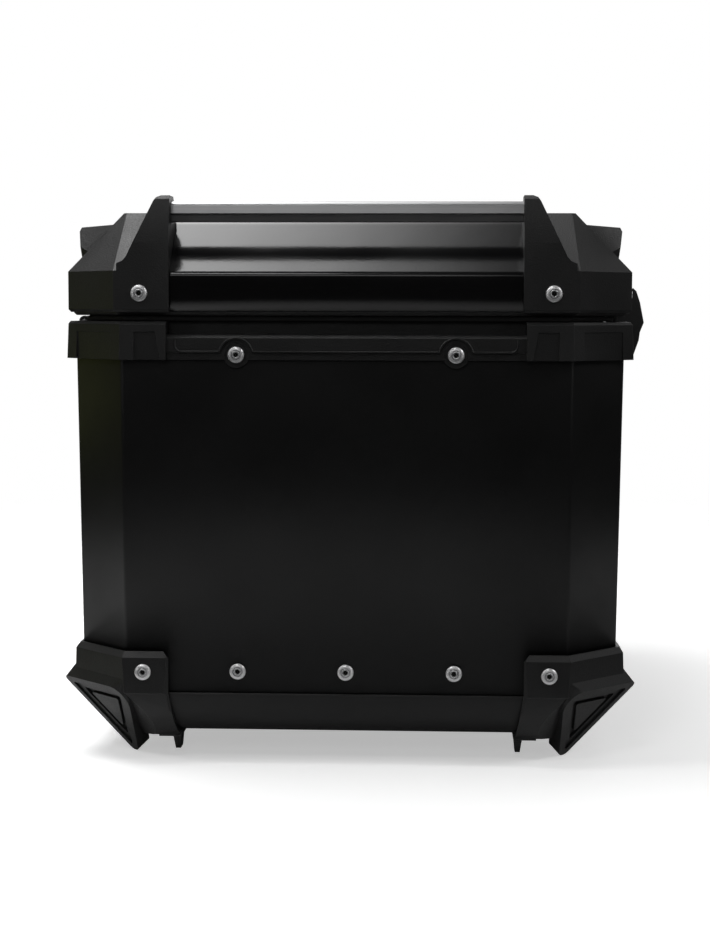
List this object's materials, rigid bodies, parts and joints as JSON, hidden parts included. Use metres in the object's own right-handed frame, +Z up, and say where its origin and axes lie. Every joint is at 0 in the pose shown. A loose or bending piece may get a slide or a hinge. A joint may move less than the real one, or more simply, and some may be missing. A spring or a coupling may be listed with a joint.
{
  "type": "top case",
  "caption": "Octagonal aluminium motorcycle top case with hinged lid, side rails, corner guards, folding stays and a lockable lever latch.",
  "frame": {"origin": "centre of the floor pad's flat underside", "axes": "+Z up out of the lid, +X towards the latch, Y along the long side of the case"},
  "size_m": [0.3582, 0.4286, 0.33],
  "materials": {
    "coated_sheet": "fine satin black powder coat on aluminium sheet",
    "coated_lid": "semi-gloss black coat on pressed aluminium",
    "grained_plastic": "black moulded plastic with a fine leather grain",
    "rail": "dark grey anodised extrusion, satin",
    "rivet": "bright domed blind rivet",
    "black_steel": "black coated steel",
    "bright_steel": "plain satin steel",
    "rubber": "matte black rubber",
    "lining": "dark grey felt over foam"
  },
  "bodies": {
    "body": {"body_wall": "coated_sheet", "corner_guard_front_left": "grained_plastic", "corner_guard_front_right": "grained_plastic", "corner_guard_rear_left": "grained_plastic", "corner_guard_rear_right": "grained_plastic", "floor_mat": "rubber", "floor_pan": "coated_sheet", "floor_plate": "bright_steel", "floor_ring": "coated_sheet", "guard_rivet_left_1": "rivet", "guard_rivet_left_2": "rivet", "guard_rivet_right_1": "rivet", "guard_rivet_right_2": "rivet", "hinge_body_leaf_left": "black_steel", "hinge_body_leaf_right": "black_steel", "hinge_pin_left": "bright_steel", "hinge_pin_right": "bright_steel", "latch_base": "black_steel", "lever_pin": "bright_steel", "rim_cap_front_left": "grained_plastic", "rim_cap_front_right": "grained_plastic", "rim_cap_rear_left": "grained_plastic", "rim_cap_rear_right": "grained_plastic", "rim_frame": "grained_plastic", "strip_rivet_left_1": "rivet", "strip_rivet_left_2": "rivet", "strip_rivet_right_1": "rivet", "strip_rivet_right_2": "rivet", "wall_rivet_left_1": "rivet", "wall_rivet_left_2": "rivet", "wall_rivet_left_3": "rivet", "wall_rivet_right_1": "rivet", "wall_rivet_right_2": "rivet", "wall_rivet_right_3": "rivet"},
    "lid": {"hinge_lid_leaf_left": "black_steel", "hinge_lid_leaf_right": "black_steel", "lid_block_front_left": "grained_plastic", "lid_block_front_right": "grained_plastic", "lid_block_rear_left": "grained_plastic", "lid_block_rear_right": "grained_plastic", "lid_frame": "grained_plastic", "lid_keeper": "black_steel", "lid_liner": "lining", "lid_rivet_left_1": "rivet", "lid_rivet_left_2": "rivet", "lid_rivet_right_1": "rivet", "lid_rivet_right_2": "rivet", "lid_seal": "rubber", "lid_shell": "coated_lid", "rail_left": "rail", "rail_right": "rail"},
    "stay_lower_left": {"stay_lower_left": "black_steel"},
    "stay_lower_right": {"stay_lower_right": "black_steel"},
    "stay_upper_left": {"stay_upper_left": "black_steel"},
    "stay_upper_right": {"stay_upper_right": "black_steel"},
    "lever": {"latch_lever": "grained_plastic", "claw_pin": "bright_steel"},
    "claw": {"latch_claw": "black_steel"},
    "lock": {"lock_cylinder": "bright_steel"}
  },
  "joints": [
    {"name": "lid_hinge", "type": "hinge", "parent": "body", "child": "lid", "pos_m": [-0.165, 0, 0.2435], "axis": [0, -1, 0], "range_deg": [0, 95]},
    {"name": "stay_lower_left_pivot", "type": "hinge", "parent": "body", "child": "stay_lower_left", "pos_m": [-0.105, -0.185, 0.233], "axis": [0, -1, 0], "range_deg": [0, 126]},
    {"name": "stay_upper_left_pivot", "type": "hinge", "parent": "stay_lower_left", "child": "stay_upper_left", "pos_m": [-0.055, -0.185, 0.243], "axis": [0, -1, 0], "range_deg": [-158, 0]},
    {"name": "stay_lower_right_pivot", "type": "hinge", "parent": "body", "child": "stay_lower_right", "pos_m": [-0.105, 0.185, 0.233], "axis": [0, -1, 0], "range_deg": [0, 126]},
    {"name": "stay_upper_right_pivot", "type": "hinge", "parent": "stay_lower_right", "child": "stay_upper_right", "pos_m": [-0.055, 0.185, 0.243], "axis": [0, -1, 0], "range_deg": [-158, 0]},
    {"name": "lever_hinge", "type": "hinge", "parent": "body", "child": "lever", "pos_m": [0.1725, 0, 0.2245], "axis": [0, 1, 0], "range_deg": [0, 80]},
    {"name": "claw_pivot", "type": "hinge", "parent": "lever", "child": "claw", "pos_m": [0.1768, 0, 0.2405], "axis": [0, 1, 0], "range_deg": [-64, 0]},
    {"name": "lock_turn", "type": "hinge", "parent": "lever", "child": "lock", "pos_m": [0.1836, 0, 0.25], "axis": [1, 0, 0], "range_deg": [0, 90]}
  ],
  "couplings": [
    {"joint": "stay_lower_left_pivot", "follows": "lid_hinge", "ratio": 1.324},
    {"joint": "stay_upper_left_pivot", "follows": "lid_hinge", "ratio": -1.657},
    {"joint": "stay_lower_right_pivot", "follows": "lid_hinge", "ratio": 1.324},
    {"joint": "stay_upper_right_pivot", "follows": "lid_hinge", "ratio": -1.657},
    {"joint": "claw_pivot", "follows": "lever_hinge", "ratio": -0.8}
  ]
}
